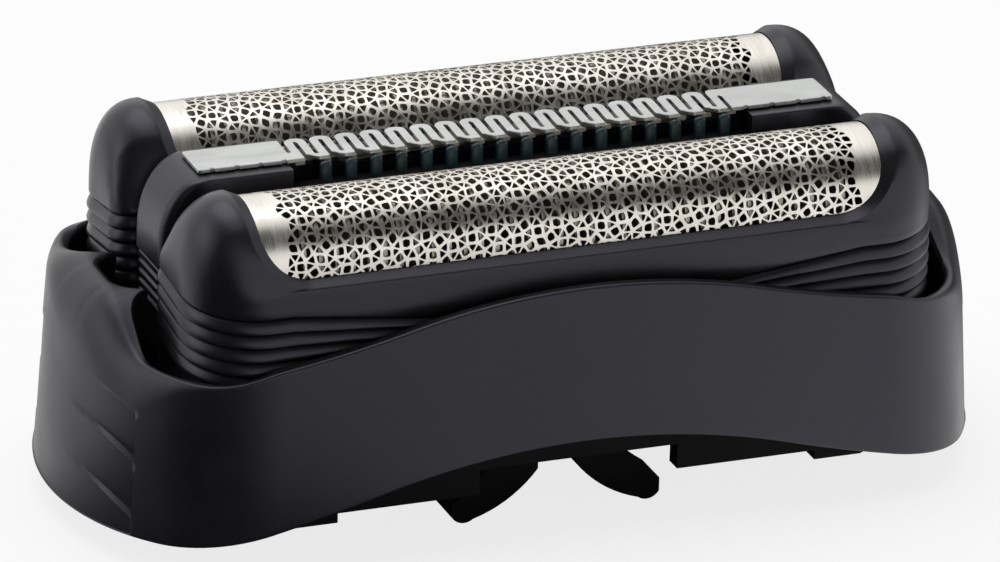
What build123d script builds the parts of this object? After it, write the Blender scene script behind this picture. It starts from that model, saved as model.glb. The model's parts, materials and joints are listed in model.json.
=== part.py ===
from build123d import *
import os
from math import atan2, cos, degrees, radians, sin, sqrt, tan

# Shaver foil head: a cassette with two sprung foil units and a sprung trimmer bar between them.
# Millimetres, +Z up, +X along the foils, -Y towards the front; Z = 0 at the tips of the drive forks.

# Outer frame
frame_length = 58.0
frame_depth = 27.8
end_radius = 18.8
corner_radius = 7.5
frame_foot = 1.65
frame_headroom = 18.0
end_draft = 4.2
side_draft = 1.5
frame_wall = 1.0
rim_crest = 16.5
rim_join_x = 11.0
rim_join_z = 14.9
rim_trough_inset = 7.5
rim_trough_z = 13.3
crown_top = 15.05
crown_radius = 52.0
shoulder_radius = 1.3
shoulder_turns = (0, 30, 55, 75, 90)
arch_crest = 6.5
arch_join_x = 13.0
arch_join_z = 4.7
grip_half_width = 8.6
grip_apex_heights = (8.4, 5.1)
grip_fall = 2.4
grip_band = 1.5
grip_depth = 0.3
post_width = 6.0
post_length = 1.0
ridge_height = 0.6
ridge_reach = 0.6
ridge_width = 8.0
ridge_gap = 0.1

# Base tray
tray_bottom = 7.0
tray_thickness = 1.2
tray_clearance = 0.1
skirt_wall = 1.2
skirt_gap = 0.15
skirt_inset = 9.4
skirt_mid_z = 5.0
skirt_tab_z = 3.4
skirt_foot_z = 2.8
tab_start_x = 6.3
foot_length = 3.0
foot_bevel = 1.4
peg_height = 2.0
peg_clearance = 0.15

# Floating units, shared
unit_end = 5.3
unit_side = 1.7
trimmer_end = 6.1
trimmer_gap = 0.7
float_travel = 2.0
float_reserve = 0.3
lug_rise = 0.7
lug_thickness = 1.4
slot_side_gap = 0.35
slot_end_gap = 1.6
slot_outer_corner = 6.0
slot_inner_corner = 1.4
trimmer_slot_gap = 0.4
trimmer_end_gap = 2.0
spring_radius = 1.2
spring_wire = 0.3
spring_turns = 5
spring_pocket_gap = 0.2
spring_top_gap = 0.05
pocket_depth = 4.0

# Foil units
unit_corner_margin = 0.1
unit_inner_corner = 1.6
foil_axis = 18.3
bar_width = 0.8
foil_thickness = 0.1
foil_hold = 0.4
foil_fit = 0.03
foil_skirt = 3.6
foil_band = 2.5
perforation_angles = (-50, -25, 0, 25, 50)
perforation_pitch = 1.5
perforation_size = 0.55
ear_length = 3.7
ear_roof = 0.5
window_corner = 2.6
window_sink = 0.2
ear_section_turns = (0, 15, 30, 45, 60, 72, 82, 88)
bevel_drop = 0.95
chamber_inset = 0.4
rib_top = 16.2
rib_pitch = 0.8
rib_count = 6
rib_groove = 0.32
rib_depth = 0.25
foil_lug_reach = 2.4
foil_lug_width = 2.2
foil_lug_inset = 0.1
foil_spring_inset = 1.9

# Cutters under the foils
stroke = 1.2
stroke_clearance = 0.4
cutter_end_gap = 0.6
blade_gap = 0.12
blade_pitch = 1.0
blade_thickness = 0.25
blade_leg = 2.8
beam_width = 4.0
beam_top = 17.0
beam_height = 3.0
beam_overhang = 0.5
web_width = 6.4
web_thickness = 2.8
pin_gap = 2.44
pin_slot_top = 8.0
fork_neck_z = 2.95
fork_bend_x = 2.75
fork_bend_z = 1.45
fork_tip_x = 5.86
fork_tip_radius = 0.92
fork_heel_x = 5.3
fork_toe_x = 6.65
fork_toe_high = 1.3
fork_back_x = 4.75
fork_back_z = 2.9
fork_shoulder_z = 5.2
fork_passage = 16.6
passage_side_gap = 0.6
retainer_thickness = 0.8
retainer_fit = 0.05
cutter_spring_inset = 5.5
cutter_spring_radius = 1.0
cutter_spring_wire = 0.25
cutter_spring_turns = 4
finger_width = 1.6
finger_height = 1.2
finger_lift = 0.3
finger_overrun = 0.9

# Trimmer bar between the foils
trimmer_width = 5.0
trimmer_corner = 1.6
trimmer_top = 21.2
trimmer_end_round_x = 2.6
trimmer_end_round_z = 4.2
trimmer_shoulder = 0.5
channel_half_width = 1.35
lip_inner = 2.05
lip_top = 20.4
trimmer_lug_reach = 2.7
trimmer_lug_width = 2.8
trimmer_spring_inset = 3.4
comb_inset = 2.6
comb_width = 3.16
comb_thickness = 0.25
comb_lift = 0.05
comb_plate_length = 5.7
comb_loops = 18
comb_bar = 0.5
comb_slant = 0.45
trimmer_blade_thickness = 0.25
trimmer_blade_gap = 0.05
trimmer_tooth = 0.6
trimmer_blade_spine = 1.3
trimmer_blade_half_width = 1.25
slider_width = 2.0
slider_height = 3.0
slider_end_gap = 0.3
drive_peg_radius = 0.35
drive_peg_inset = 2.5
drive_peg_fit = 0.04
leaf_thickness = 0.12
leaf_peg_gap = 1.2
leaf_rise = 0.35
arm_width = 4.0
arm_finger_gap = 0.05
prong_width = 0.72
prong_lift = 0.15
prong_gap = 0.06
rail_base = 18.6
rail_fit = 0.04

# Frame and tray sizes worked out from the values above
tray_top = tray_bottom + tray_thickness
rim_trough_x = frame_length / 2 - rim_trough_inset
skirt_half_length = frame_length / 2 - skirt_inset
foot_end_x = skirt_half_length - foot_bevel
foot_start_x = foot_end_x - foot_length
far = 2 * frame_length

# Foil unit sizes: the units share the frame's length and depth with the trimmer
unit_length = frame_length - 2 * unit_end
unit_width = frame_depth / 2 - unit_side - trimmer_gap - trimmer_width / 2
unit_half_width = unit_width / 2
unit_outer_corner = unit_half_width - unit_corner_margin
unit_bottom = tray_top + float_travel + float_reserve
lug_bottom = unit_bottom + lug_rise
deck_underside = lug_bottom + lug_thickness
pocket_top = unit_bottom + pocket_depth
foil_offset = trimmer_width / 2 + trimmer_gap + unit_half_width
foil_radius = unit_half_width - bar_width
foil_inner = foil_radius - foil_thickness
window_length = unit_length - 2 * ear_length
foil_length = window_length + 2 * foil_hold
perforation_columns = int((window_length - 2 * foil_band) / perforation_pitch) + 1
ear_rise = foil_radius + ear_roof
ear_crest_x = foil_length / 2
chamber_length = window_length - 2 * chamber_inset
chamber_half_width = foil_radius + foil_fit
spring_x_foil = unit_length / 2 - foil_spring_inset

# Cutter sizes
blade_radius = foil_inner - blade_gap
blade_room = chamber_length - 2 * (stroke + cutter_end_gap + beam_overhang)
blade_count = int(blade_room / blade_pitch) + 1
beam_length = (blade_count - 1) * blade_pitch + 2 * beam_overhang
beam_bottom = beam_top - beam_height
cutter_spring_x = beam_length / 2 - cutter_spring_inset
retainer_top = unit_bottom + retainer_thickness
passage_width = web_thickness + 2 * passage_side_gap
fork_heel_z = fork_tip_radius - sqrt(fork_tip_radius**2 - (fork_tip_x - fork_heel_x)**2)
fork_toe_low = fork_tip_radius - sqrt(fork_tip_radius**2 - (fork_toe_x - fork_tip_x)**2)
finger_bottom = retainer_top + finger_lift
finger_top = finger_bottom + finger_height
finger_window = finger_width + 2 * (stroke + stroke_clearance)

# Trimmer sizes
trimmer_length = frame_length - 2 * trimmer_end
spring_x_trimmer = trimmer_length / 2 - trimmer_spring_inset
comb_length = trimmer_length - 2 * comb_inset
comb_bottom = trimmer_top + comb_lift
loop_span = comb_length - 2 * comb_plate_length
comb_pitch = loop_span / comb_loops
trimmer_blade_top = comb_bottom - trimmer_blade_gap
trimmer_blade_bottom = trimmer_blade_top - trimmer_blade_thickness
slider_top = trimmer_blade_bottom - leaf_rise
channel_length = loop_span + 2 * (stroke + stroke_clearance)
slider_length = channel_length - 2 * (stroke + slider_end_gap)
drive_peg_x = slider_length / 2 - drive_peg_inset
leaf_length = 2 * (drive_peg_x - leaf_peg_gap)
arm_slot_top = finger_top + float_travel + float_reserve
arm_bottom = finger_bottom - float_travel - float_reserve


# Face on the XZ plane, or on the YZ plane, pushed both ways through the whole part
def prism_along_y(face, half=far):
    return extrude(Plane.XZ * face, amount=half, both=True)


def prism_along_x(face, half):
    return extrude(Plane.YZ * face, amount=half, both=True)


def block(x_low, x_high, y_low, y_high, z_low, z_high):
    middle = ((x_low + x_high) / 2, (y_low + y_high) / 2, (z_low + z_high) / 2)
    return Pos(*middle) * Box(x_high - x_low, y_high - y_low, z_high - z_low)


def both_ends(piece):
    return piece + mirror(piece, about=Plane.YZ)


# Outline of the frame seen from above at one height: arc ends, straight sides, rounded corners
def frame_plan(z, inset=0.0, shortening=0.0):
    rise = z - frame_foot
    half_length = frame_length / 2 - rise * tan(radians(end_draft)) - inset - shortening
    half_depth = frame_depth / 2 - rise * tan(radians(side_draft)) - inset
    radius = end_radius - inset
    corner = half_length - radius + sqrt(radius**2 - half_depth**2)
    outline = Curve() + [
        Line((-corner, -half_depth), (corner, -half_depth)),
        ThreePointArc((corner, -half_depth), (half_length, 0), (corner, half_depth)),
        Line((corner, half_depth), (-corner, half_depth)),
        ThreePointArc((-corner, half_depth), (-half_length, 0), (-corner, -half_depth)),
    ]
    plan = make_face(outline.edges())
    return Pos(0, 0, z) * fillet(plan.vertices(), corner_radius - inset)


def drafted_block(z_low, z_high, inset=0.0):
    return loft([frame_plan(z_low, inset), frame_plan(z_high, inset)], ruled=True)


# Solid outline of the frame: drafted walls whose ends round over into the deck
def frame_block():
    foot = crown_top - shoulder_radius
    sections = [frame_plan(frame_foot)]
    for turn in shoulder_turns:
        shortening = shoulder_radius * (1 - cos(radians(turn)))
        sections.append(frame_plan(foot + shoulder_radius * sin(radians(turn)), 0, shortening))
    sections.append(frame_plan(frame_headroom, 0, shoulder_radius))
    return loft(sections, ruled=True)


# Region under a curve that falls from a crest at X = 0 through a join to an end point, both ways
def region_under(crest, join, end, floor):
    fall = TangentArc((0, crest), join, tangent=(1, 0))
    tail = TangentArc(join, end, tangent=fall % 1)
    right = [fall, tail, Line(end, (end[0], floor))]
    left = [mirror(edge, about=Plane.YZ) for edge in right]
    base = Line((-end[0], floor), (end[0], floor))
    return make_face(Curve() + right + left + [base])


def crown_region(floor):
    half = frame_depth / 2
    side = crown_top - crown_radius + sqrt(crown_radius**2 - half**2)
    outline = Curve() + [
        ThreePointArc((-half, side), (0, crown_top), (half, side)),
        Line((half, side), (half, floor)),
        Line((half, floor), (-half, floor)),
        Line((-half, floor), (-half, side)),
    ]
    return make_face(outline.edges())


# Plan of a foil unit or of its slot, wide corners outwards and tight corners beside the trimmer
def unit_plan(length, width, outer_corner, inner_corner):
    plan = Rectangle(length, width)
    plan = fillet(plan.vertices().group_by(Axis.Y)[0], outer_corner)
    return fillet(plan.vertices().group_by(Axis.Y)[-1], inner_corner)


def frame_slots():
    foil_slot = unit_plan(unit_length + 2 * slot_end_gap, unit_width + 2 * slot_side_gap,
                          slot_outer_corner, slot_inner_corner)
    front = extrude(Pos(0, -foil_offset, deck_underside) * foil_slot, amount=frame_headroom)
    trimmer_slot = RectangleRounded(trimmer_length + 2 * trimmer_end_gap, trimmer_width + 2 * trimmer_slot_gap,
                                    slot_inner_corner)
    middle = extrude(Pos(0, 0, deck_underside) * trimmer_slot, amount=frame_headroom)
    return front + mirror(front, about=Plane.XZ) + middle


# Upturned V recesses that make the grip on each end of the frame
def grip_cuts(top):
    skin = drafted_block(frame_foot, top) - drafted_block(frame_foot, top, grip_depth)
    bands = Part()
    for apex in grip_apex_heights:
        edge = [(-grip_half_width, apex - grip_fall), (0, apex), (grip_half_width, apex - grip_fall)]
        upper = [(y, z + grip_band) for y, z in reversed(edge)]
        bands += prism_along_x(make_face(Polyline(*edge, *upper, close=True)), far)
    ends_only = block(frame_length / 4, far, -grip_half_width, grip_half_width, 0, top)
    return skin & bands & both_ends(ends_only)


def cavity_end():
    return frame_length / 2 - (deck_underside - frame_foot) * tan(radians(end_draft)) - frame_wall


def outer_frame():
    top = frame_headroom
    wave = region_under(rim_crest, (rim_join_x, rim_join_z), (rim_trough_x, rim_trough_z), 0)
    cap = extrude(Plane.YZ.offset(rim_trough_x) * crown_region(0), amount=frame_length)
    envelope = prism_along_y(wave, frame_depth) + both_ends(cap)
    shell = frame_block() & envelope
    arch = region_under(arch_crest, (arch_join_x, arch_join_z), (frame_length / 2, frame_foot), -frame_foot)
    shell -= prism_along_y(arch, frame_depth)
    shell -= drafted_block(-frame_foot, deck_underside, frame_wall)
    shell -= frame_slots()
    shell -= grip_cuts(top)
    # Posts that bear on the tray from above, and snap ridges that catch its ends from below
    inner_end = cavity_end()
    post = block(inner_end - post_length, inner_end + frame_wall / 2, -post_width / 2, post_width / 2,
                 tray_top, deck_underside)
    ridge = block(inner_end - ridge_reach, inner_end + frame_wall / 2, -ridge_width / 2, ridge_width / 2,
                  tray_bottom, tray_bottom + ridge_height)
    keep_inside = drafted_block(frame_foot, top, frame_wall / 2)
    return shell + both_ends((post + ridge) & keep_inside)


def skirt_profile():
    right = [
        (0, skirt_mid_z), (tab_start_x, skirt_mid_z), (tab_start_x, skirt_tab_z),
        (foot_start_x, skirt_tab_z), (foot_start_x, skirt_foot_z), (foot_end_x, skirt_foot_z),
        (skirt_half_length, skirt_tab_z), (skirt_half_length, tray_top),
    ]
    left = [(-x, z) for x, z in reversed(right[1:])]
    return make_face(Polyline(*right, *left, close=True))


def fork_passage_cut(z_low, height):
    return extrude(Pos(0, 0, z_low) * RectangleRounded(fork_passage, passage_width, passage_side_gap), height)


def base_tray():
    plate = extrude(frame_plan(tray_top, frame_wall + tray_clearance), amount=-tray_thickness)
    skirt_face = frame_depth / 2 - (tray_top - frame_foot) * tan(radians(side_draft)) - frame_wall - skirt_gap
    skirts = prism_along_y(skirt_profile(), skirt_face) - block(-far, far, skirt_wall - skirt_face,
                                                                skirt_face - skirt_wall, -far, far)
    tray = plate + skirts
    tray_cut = tray_bottom - tray_thickness
    for y in (-foil_offset, foil_offset):
        tray -= Pos(0, y, 0) * fork_passage_cut(tray_cut, 3 * tray_thickness)
    arm_half = arm_width / 2 + stroke + stroke_clearance
    arm_side = slider_width / 2 + stroke_clearance
    tray -= block(-arm_half, arm_half, -arm_side, arm_side, tray_cut, tray_top + tray_thickness)
    catch = block(cavity_end() - ridge_reach - ridge_gap, far, -ridge_width / 2 - ridge_gap,
                  ridge_width / 2 + ridge_gap, tray_bottom, tray_bottom + ridge_height)
    tray -= both_ends(catch)
    peg_radius = spring_radius - spring_wire - peg_clearance
    for x, y in spring_seats():
        tray += Pos(x, y, tray_top + peg_height / 2) * Cylinder(peg_radius, peg_height)
    return tray


def spring_seats():
    foil_seats = [(x, y) for y in (-foil_offset, foil_offset) for x in (-spring_x_foil, spring_x_foil)]
    return foil_seats + [(-spring_x_trimmer, 0), (spring_x_trimmer, 0)]


# Round-wire compression spring standing on z_low
def coil_spring(x, y, z_low, z_high, radius, wire, turns):
    path_radius = radius - wire / 2
    rise = z_high - z_low - wire
    path = Helix(pitch=rise / turns, height=rise, radius=path_radius)
    section = Plane(origin=path @ 0, z_dir=path % 0) * Circle(wire / 2)
    return Pos(x, y, z_low + wire / 2) * sweep(section, path=path, is_frenet=True)


def float_springs(seats):
    z_high = pocket_top - spring_top_gap
    return [coil_spring(x, y, tray_top, z_high, spring_radius, spring_wire, spring_turns) for x, y in seats]


def spring_pocket(x):
    pocket_radius = spring_radius + spring_pocket_gap
    return Pos(x, 0, unit_bottom + pocket_depth / 2) * Cylinder(pocket_radius, pocket_depth)


# Side outline of a floating unit: square foot, quarter-ellipse shoulders, flat crown
def shoulder_outline(half_length, crest_x, foot_z, top_z, round_z):
    shoulder = top_z - round_z
    arc = EllipticalCenterArc((crest_x, shoulder), half_length - crest_x, round_z, arc_size=90)
    right = [Line((half_length, foot_z), (half_length, shoulder)), arc]
    left = [mirror(edge, about=Plane.YZ) for edge in right]
    crown = Line((-crest_x, top_z), (crest_x, top_z))
    foot = Line((-half_length, foot_z), (half_length, foot_z))
    return make_face(Curve() + right + left + [crown, foot])


def tunnel_outline(radius, axis_z, foot_z):
    outline = Curve() + [
        ThreePointArc((radius, axis_z), (0, axis_z + radius), (-radius, axis_z)),
        Line((-radius, axis_z), (-radius, foot_z)),
        Line((-radius, foot_z), (radius, foot_z)),
        Line((radius, foot_z), (radius, axis_z)),
    ]
    return make_face(outline.edges())


def unit_outline(inset=0.0):
    return unit_plan(unit_length - 2 * inset, unit_width - 2 * inset,
                     unit_outer_corner - inset, unit_inner_corner - inset)


# Foil units are drawn about their own middle, with the trimmer side towards +Y
# Ears: a dome of plans that shrink upwards, elliptic both ways, opened by the foil window
def foil_ears(tunnel):
    sections = []
    for turn in ear_section_turns:
        share = cos(radians(turn))
        z = foil_axis + ear_rise * sin(radians(turn))
        length = 2 * (ear_crest_x + (unit_length / 2 - ear_crest_x) * share)
        plan = unit_plan(length, unit_width * share, unit_outer_corner * share, unit_inner_corner * share)
        sections.append(Pos(0, 0, z) * plan)
    window = RectangleRounded(window_length, unit_width, window_corner)
    window_middle = foil_axis - window_sink + unit_half_width
    return loft(sections) - prism_along_y(Pos(0, window_middle) * window, unit_width) - tunnel


def foil_frame():
    body = extrude(Pos(0, 0, unit_bottom) * unit_outline(), amount=foil_axis - unit_bottom)
    roof = Polyline((-unit_width, foil_axis + unit_width), (-unit_half_width, foil_axis - bevel_drop),
                    (-foil_radius, foil_axis), (foil_radius, foil_axis),
                    (unit_half_width, foil_axis - bevel_drop), (unit_width, foil_axis + unit_width), close=True)
    body -= prism_along_x(make_face(roof), window_length / 2 - window_corner)
    tunnel = prism_along_x(tunnel_outline(chamber_half_width, foil_axis, foil_axis - foil_skirt), foil_length / 2)
    body -= tunnel
    body -= block(-chamber_length / 2, chamber_length / 2, -chamber_half_width, chamber_half_width,
                  unit_bottom, foil_axis)
    for rib in range(rib_count):
        z = rib_top - rib * rib_pitch
        ring = unit_outline() - unit_outline(rib_depth)
        body -= extrude(Pos(0, 0, z - rib_groove / 2) * ring, amount=rib_groove)
    for x in (-spring_x_foil, spring_x_foil):
        body -= spring_pocket(x)
    body -= block(-finger_window / 2, finger_window / 2, 0, unit_width, unit_bottom, finger_top + finger_lift)
    lug_y = unit_half_width - foil_lug_inset
    lug = block(unit_length / 2 - unit_inner_corner, unit_length / 2 + foil_lug_reach,
                lug_y - foil_lug_width, lug_y, lug_bottom, deck_underside)
    return body + foil_ears(tunnel) + both_ends(lug)


def foil():
    outer = tunnel_outline(foil_radius, foil_axis, foil_axis - foil_skirt)
    inner = tunnel_outline(foil_inner, foil_axis, foil_axis - foil_skirt - foil_thickness)
    sheet = prism_along_x(outer - inner, foil_length / 2)
    first_x = -(perforation_columns - 1) * perforation_pitch / 2
    punch = extrude(RegularPolygon(perforation_size, 6), amount=2 * foil_radius)
    columns = [first_x + column * perforation_pitch for column in range(perforation_columns)]
    return sheet - [Pos(x, 0, foil_axis) * Rot(angle, 0, 0) * punch for angle in perforation_angles for x in columns]


def cutter_blades():
    foot = foil_axis - blade_leg
    saddle = Rectangle(beam_width, beam_top - foot, align=(Align.CENTER, Align.MIN))
    profile = tunnel_outline(blade_radius, foil_axis, foot) - Pos(0, foot) * saddle
    blade = extrude(Plane.YZ * profile, amount=blade_thickness / 2, both=True)
    first_x = -(blade_count - 1) * blade_pitch / 2
    return [Pos(first_x + index * blade_pitch, 0, 0) * blade for index in range(blade_count)]


# Flared drive fork under the cutter beam, drawn as its right leg and mirrored
def drive_fork():
    inner = pin_gap / 2
    outer = web_width / 2
    leg = Curve() + [
        Line((inner, pin_slot_top), (inner, fork_neck_z)),
        ThreePointArc((inner, fork_neck_z), (fork_bend_x, fork_bend_z), (fork_heel_x, fork_heel_z)),
        ThreePointArc((fork_heel_x, fork_heel_z), (fork_tip_x, 0), (fork_toe_x, fork_toe_low)),
        Line((fork_toe_x, fork_toe_low), (fork_toe_x, fork_toe_high)),
        ThreePointArc((fork_toe_x, fork_toe_high), (fork_back_x, fork_back_z), (outer, fork_shoulder_z)),
        Line((outer, fork_shoulder_z), (outer, pin_slot_top)),
        Line((outer, pin_slot_top), (inner, pin_slot_top)),
    ]
    return both_ends(prism_along_y(make_face(leg.edges()), web_thickness / 2))


def cutter_carrier(with_finger):
    beam = block(-beam_length / 2, beam_length / 2, -beam_width / 2, beam_width / 2, beam_bottom, beam_top)
    web = block(-web_width / 2, web_width / 2, -web_thickness / 2, web_thickness / 2, pin_slot_top, beam_bottom)
    carrier = beam + web + drive_fork()
    if with_finger:
        reach = foil_offset + finger_overrun
        carrier += block(-finger_width / 2, finger_width / 2, 0, reach, finger_bottom, finger_top)
    return carrier


def cutter_retainer():
    half_length = chamber_length / 2 - retainer_fit
    half_width = chamber_half_width - retainer_fit
    plate = block(-half_length, half_length, -half_width, half_width, unit_bottom, retainer_top)
    return plate - fork_passage_cut(unit_bottom, retainer_thickness)


def cutter_springs():
    z_high = beam_bottom - spring_top_gap
    return [coil_spring(x, 0, retainer_top, z_high, cutter_spring_radius, cutter_spring_wire, cutter_spring_turns)
            for x in (-cutter_spring_x, cutter_spring_x)]


def trimmer_body():
    plan = RectangleRounded(trimmer_length, trimmer_width, trimmer_corner)
    body = extrude(Pos(0, 0, unit_bottom) * plan, amount=trimmer_top - unit_bottom)
    side = shoulder_outline(trimmer_length / 2, trimmer_length / 2 - trimmer_end_round_x, unit_bottom,
                            trimmer_top, trimmer_end_round_z)
    body &= prism_along_y(side, trimmer_width)
    half = trimmer_width / 2
    section = Polyline((-half, unit_bottom), (half, unit_bottom), (half, trimmer_top - trimmer_shoulder),
                       (half - trimmer_shoulder, trimmer_top), (trimmer_shoulder - half, trimmer_top),
                       (-half, trimmer_top - trimmer_shoulder), close=True)
    body &= prism_along_x(make_face(section), trimmer_length)
    channel = channel_length / 2
    body -= block(-channel, channel, -channel_half_width, channel_half_width, unit_bottom, trimmer_top)
    rabbet = loop_span / 2 + rail_fit
    body -= block(-rabbet, rabbet, -lip_inner, lip_inner, rail_base, trimmer_top)
    body -= block(-rabbet, rabbet, -half, half, lip_top, trimmer_top)
    body -= block(-finger_window / 2, finger_window / 2, 0, half, unit_bottom, arm_slot_top)
    for x in (-spring_x_trimmer, spring_x_trimmer):
        body -= spring_pocket(x)
    lug = block(trimmer_length / 2 - trimmer_corner, trimmer_length / 2 + trimmer_lug_reach,
                -trimmer_lug_width / 2, trimmer_lug_width / 2, lug_bottom, deck_underside)
    return body + both_ends(lug)


def ribbon_run(first, second):
    middle = ((first[0] + second[0]) / 2, (first[1] + second[1]) / 2)
    run = Vector(second[0] - first[0], second[1] - first[1])
    turn = degrees(atan2(run.Y, run.X))
    return Pos(*middle) * Rot(0, 0, turn) * SlotCenterToCenter(run.length, comb_bar)


# Fixed steel comb: two end plates joined by one slanted zigzag ribbon
def trimmer_comb():
    half_width = comb_width / 2
    tip_y = half_width - comb_bar / 2
    start = -loop_span / 2
    points = [(start - comb_bar, -tip_y)]
    for loop in range(comb_loops):
        x = start + loop * comb_pitch
        points += [(x, -tip_y), (x + comb_slant, tip_y)]
        points += [(x + comb_pitch / 2, tip_y), (x + comb_pitch / 2 + comb_slant, -tip_y)]
    points += [(start + loop_span, -tip_y), (start + loop_span + comb_bar, -tip_y)]
    ribbon = Sketch() + [ribbon_run(first, second) for first, second in zip(points, points[1:])]
    plate_x = comb_length / 2 - comb_plate_length / 2
    plates = Pos(-plate_x, 0) * Rectangle(comb_plate_length, comb_width)
    plates += Pos(plate_x, 0) * Rectangle(comb_plate_length, comb_width)
    return extrude(Pos(0, 0, comb_bottom) * (ribbon + plates), amount=comb_thickness)


def trimmer_blade():
    spine_half = loop_span / 2
    blade = Rectangle(2 * spine_half, trimmer_blade_spine)
    for loop in range(comb_loops):
        x = -spine_half + (loop + 0.5) * comb_pitch
        blade += Pos(x, 0) * Rectangle(trimmer_tooth, 2 * trimmer_blade_half_width)
    for x in (-drive_peg_x, drive_peg_x):
        blade -= Pos(x, 0) * Circle(drive_peg_radius + drive_peg_fit)
    return extrude(Pos(0, 0, trimmer_blade_bottom) * blade, amount=trimmer_blade_thickness)


def trimmer_slider():
    half = slider_length / 2
    side = slider_width / 2
    slider = block(-half, half, -side, side, slider_top - slider_height, slider_top)
    slider += block(-arm_width / 2, arm_width / 2, -side, side, arm_bottom, slider_top - slider_height)
    slot = finger_width / 2 + arm_finger_gap
    slider -= block(-slot, slot, -side, side, arm_bottom, arm_slot_top)
    peg_height = trimmer_blade_top - slider_top
    for x in (-drive_peg_x, drive_peg_x):
        slider += Pos(x, 0, slider_top + peg_height / 2) * Cylinder(drive_peg_radius, peg_height)
    return slider


# Bowed leaf that lifts the moving blade against the comb
def trimmer_leaf():
    half = leaf_length / 2
    crest = slider_top + leaf_rise
    outline = Curve() + [
        ThreePointArc((-half, slider_top + leaf_thickness), (0, crest), (half, slider_top + leaf_thickness)),
        Line((half, slider_top + leaf_thickness), (half, slider_top)),
        ThreePointArc((half, slider_top), (0, crest - leaf_thickness), (-half, slider_top)),
        Line((-half, slider_top), (-half, slider_top + leaf_thickness)),
    ]
    return prism_along_y(make_face(outline.edges()), trimmer_blade_spine / 2)


# Two rails of round-headed prongs that stand beside the loops of the steel comb
def guide_combs():
    prong_top = comb_bottom - prong_lift
    inner = comb_width / 2 + prong_gap
    outer = lip_inner - rail_fit
    rail = block(-loop_span / 2, loop_span / 2, channel_half_width, outer, rail_base, lip_top)
    for loop in range(comb_loops):
        x = -loop_span / 2 + (loop + 0.5) * comb_pitch
        height = prong_top - prong_width / 2 - rail_base
        prong = Pos(x, rail_base + height / 2) * Rectangle(prong_width, height)
        prong += Pos(x, rail_base + height) * Circle(prong_width / 2)
        solid = extrude(Plane.XZ.offset(-inner) * prong, amount=inner - outer)
        rail += solid
    return [rail, mirror(rail, about=Plane.XZ)]


def write(name, shape):
    solids = shape if isinstance(shape, list) else [shape]
    pieces = []
    for item in solids:
        pieces += item.solids()
    whole = pieces[0] if len(pieces) == 1 else Compound(children=pieces)
    export_step(whole, os.path.join("parts", name + ".step"))


def front_and_rear(name, shape):
    shapes = shape if isinstance(shape, list) else [shape]
    front = [Pos(0, -foil_offset, 0) * item for item in shapes]
    write("front_" + name, front)
    write("rear_" + name, [mirror(item, about=Plane.XZ) for item in front])


os.makedirs("parts", exist_ok=True)
write("outer_frame", outer_frame())
write("base_tray", base_tray())
front_and_rear("foil_frame", foil_frame())
front_and_rear("foil", foil())
front_and_rear("cutter_blades", cutter_blades())
front_and_rear("cutter_retainer", cutter_retainer())
front_and_rear("cutter_springs", cutter_springs())
write("front_cutter_carrier", Pos(0, -foil_offset, 0) * cutter_carrier(False))
write("rear_cutter_carrier", mirror(Pos(0, -foil_offset, 0) * cutter_carrier(True), about=Plane.XZ))
seats = spring_seats()
write("front_float_springs", float_springs(seats[0:2]))
write("rear_float_springs", float_springs(seats[2:4]))
write("trimmer_float_springs", float_springs(seats[4:6]))
write("trimmer_body", trimmer_body())
write("trimmer_comb", trimmer_comb())
write("trimmer_blade", trimmer_blade())
write("trimmer_slider", trimmer_slider())
write("trimmer_leaf_spring", trimmer_leaf())
write("guide_combs", guide_combs())
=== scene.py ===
import json
import math

import bmesh
import bpy
import numpy as np
from mathutils import Matrix, Vector
from mathutils.geometry import delaunay_2d_cdt


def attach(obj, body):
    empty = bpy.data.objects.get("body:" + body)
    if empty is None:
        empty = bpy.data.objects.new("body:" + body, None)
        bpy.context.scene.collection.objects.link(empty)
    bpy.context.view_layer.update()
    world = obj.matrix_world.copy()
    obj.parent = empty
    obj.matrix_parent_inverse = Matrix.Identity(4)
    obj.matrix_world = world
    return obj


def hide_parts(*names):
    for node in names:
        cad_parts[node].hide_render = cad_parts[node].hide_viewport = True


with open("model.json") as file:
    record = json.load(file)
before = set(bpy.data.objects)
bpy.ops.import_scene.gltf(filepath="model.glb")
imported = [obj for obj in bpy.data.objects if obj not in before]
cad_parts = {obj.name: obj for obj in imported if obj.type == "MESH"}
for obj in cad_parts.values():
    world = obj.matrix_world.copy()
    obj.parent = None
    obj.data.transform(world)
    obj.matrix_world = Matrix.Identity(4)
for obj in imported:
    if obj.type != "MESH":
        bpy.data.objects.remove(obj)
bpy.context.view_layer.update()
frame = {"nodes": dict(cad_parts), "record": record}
mm = 0.001
scene = bpy.context.scene
print("frame loaded,", len(frame["nodes"]), "nodes")


# smooth step from 0 at a to 1 at b
def easeStep(value, a, b):
    t = np.clip((value - a) / (b - a), 0.0, 1.0)
    return t * t * (3.0 - 2.0 * t)


# the value at share t of the way from a to b
def mixed(a, b, t):
    return a + (b - a) * t


# quads of a grid: each cell joins its four corners, and wraps where the grid closes on itself
def gridQuads(rows, columns, wrapRows=False, wrapColumns=False):
    index = np.arange(rows * columns).reshape(rows, columns)
    down = np.roll(index, -1, 0)
    right = np.roll(index, -1, 1)
    cells = np.stack([index, right, np.roll(down, -1, 1), down], -1)
    lastRow = rows if wrapRows else rows - 1
    lastColumn = columns if wrapColumns else columns - 1
    return cells[:lastRow, :lastColumn].reshape(-1, 4)


# one grid of points as a patch: its points and its quads
def gridPatch(points, wrapRows=False, wrapColumns=False):
    rows, columns = points.shape[:2]
    return points.reshape(-1, 3), [gridQuads(rows, columns, wrapRows, wrapColumns)]


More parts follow.
